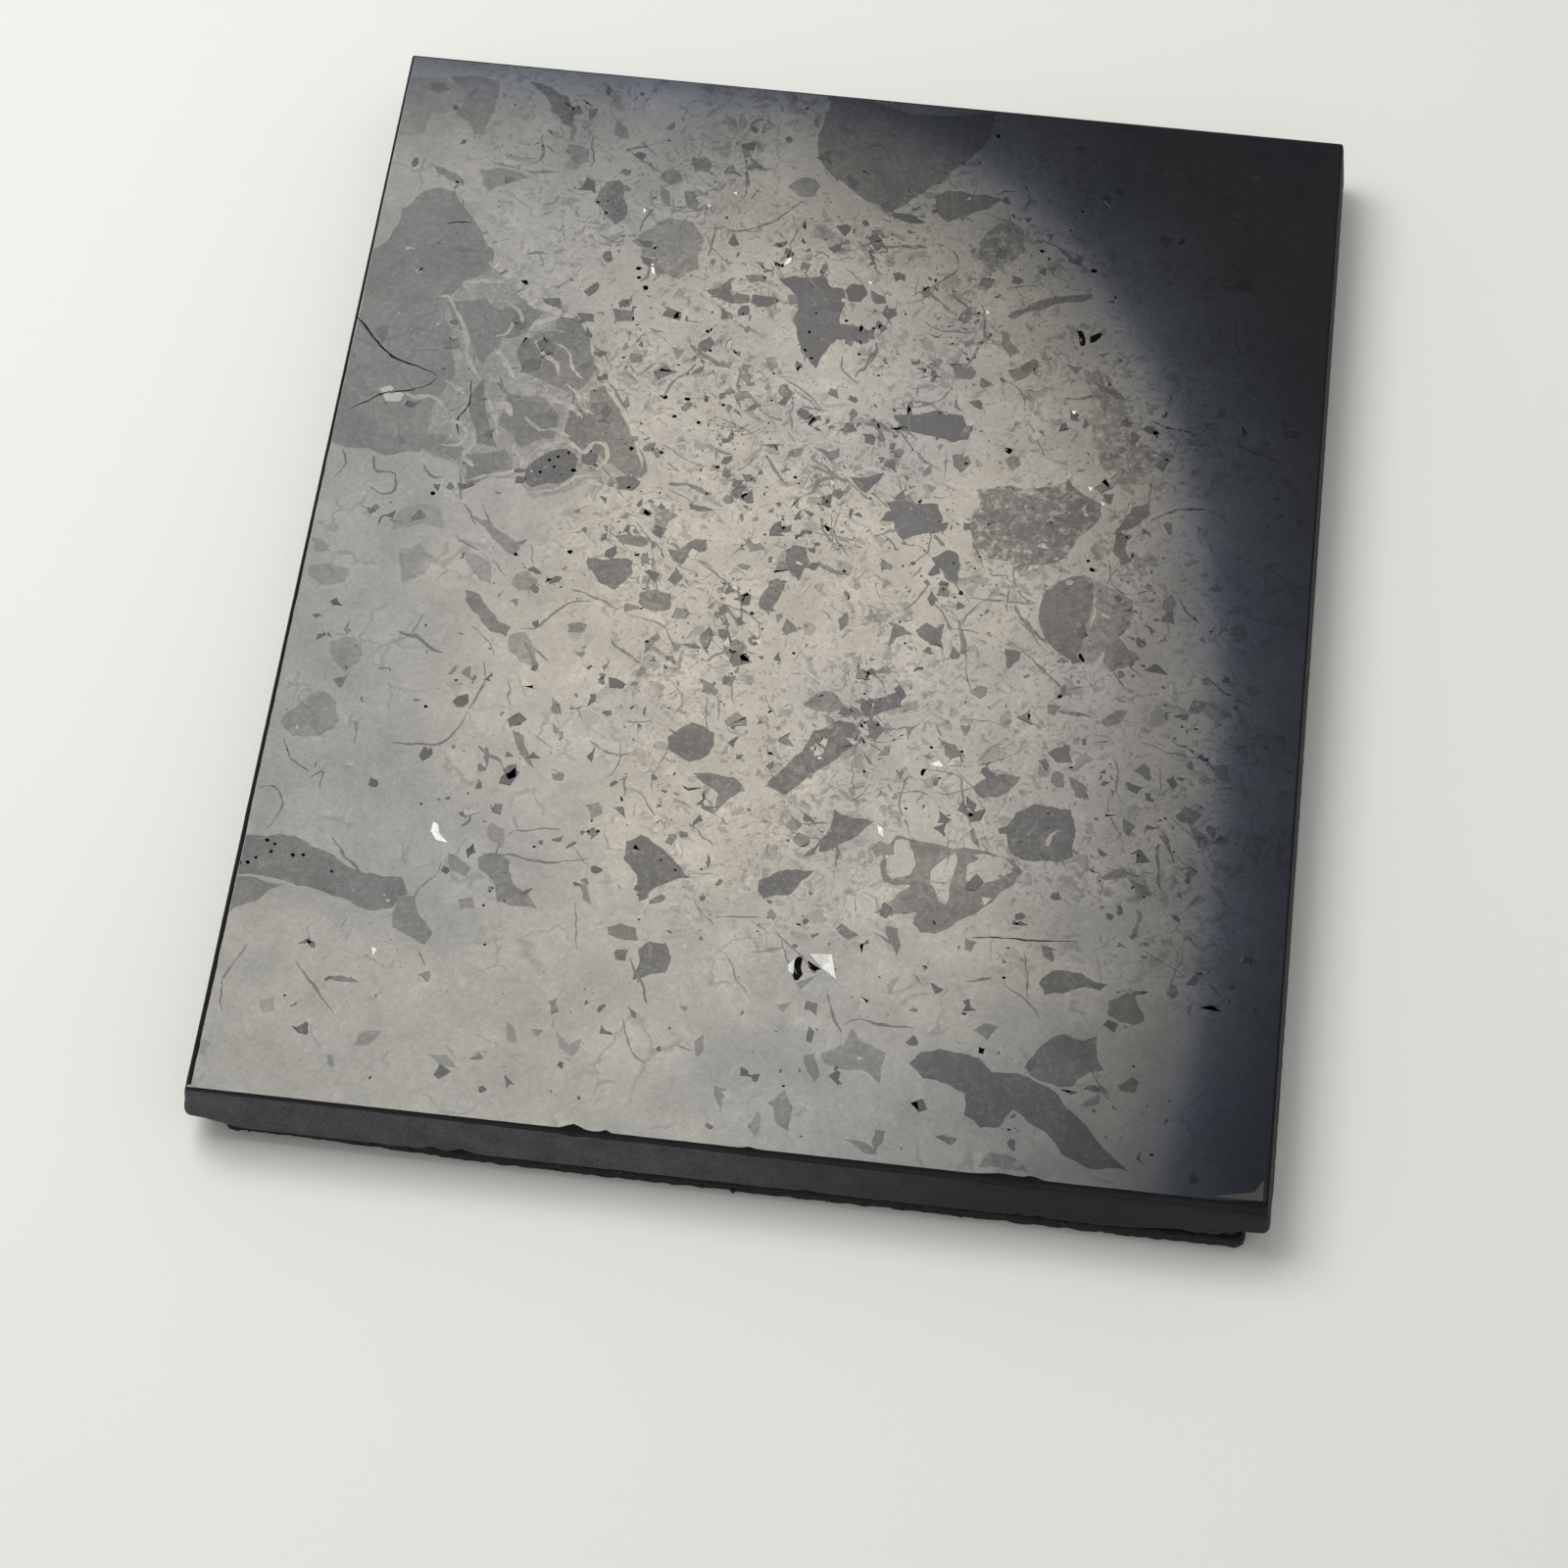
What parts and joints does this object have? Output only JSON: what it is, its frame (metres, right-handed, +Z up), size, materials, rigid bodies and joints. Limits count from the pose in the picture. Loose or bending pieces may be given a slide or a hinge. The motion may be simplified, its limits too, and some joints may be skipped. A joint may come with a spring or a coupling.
{
  "type": "stone work slab",
  "caption": "Small flat rectangular slab of polished black stone on a thin glued non-slip rubber backing, for tooling and skiving leather.",
  "frame": {"origin": "on the surface that the slab rests on, below the middle of its box", "axes": "+Z up, out of the polished working face; +Y along the slab's longer side, away from its front edge; +X to the right"},
  "size_m": [0.1016, 0.1266, 0.0081],
  "materials": {
    "polished_stone": "mirror-polished black breccia face, with fine-ground matte sides",
    "adhesive": "dull cured contact adhesive",
    "rubber_backing": "matte, knife-cut edge"
  },
  "bodies": {
    "root": {"stone_slab": "polished_stone", "adhesive_film": "adhesive", "backing_pad": "rubber_backing"}
  },
  "joints": []
}
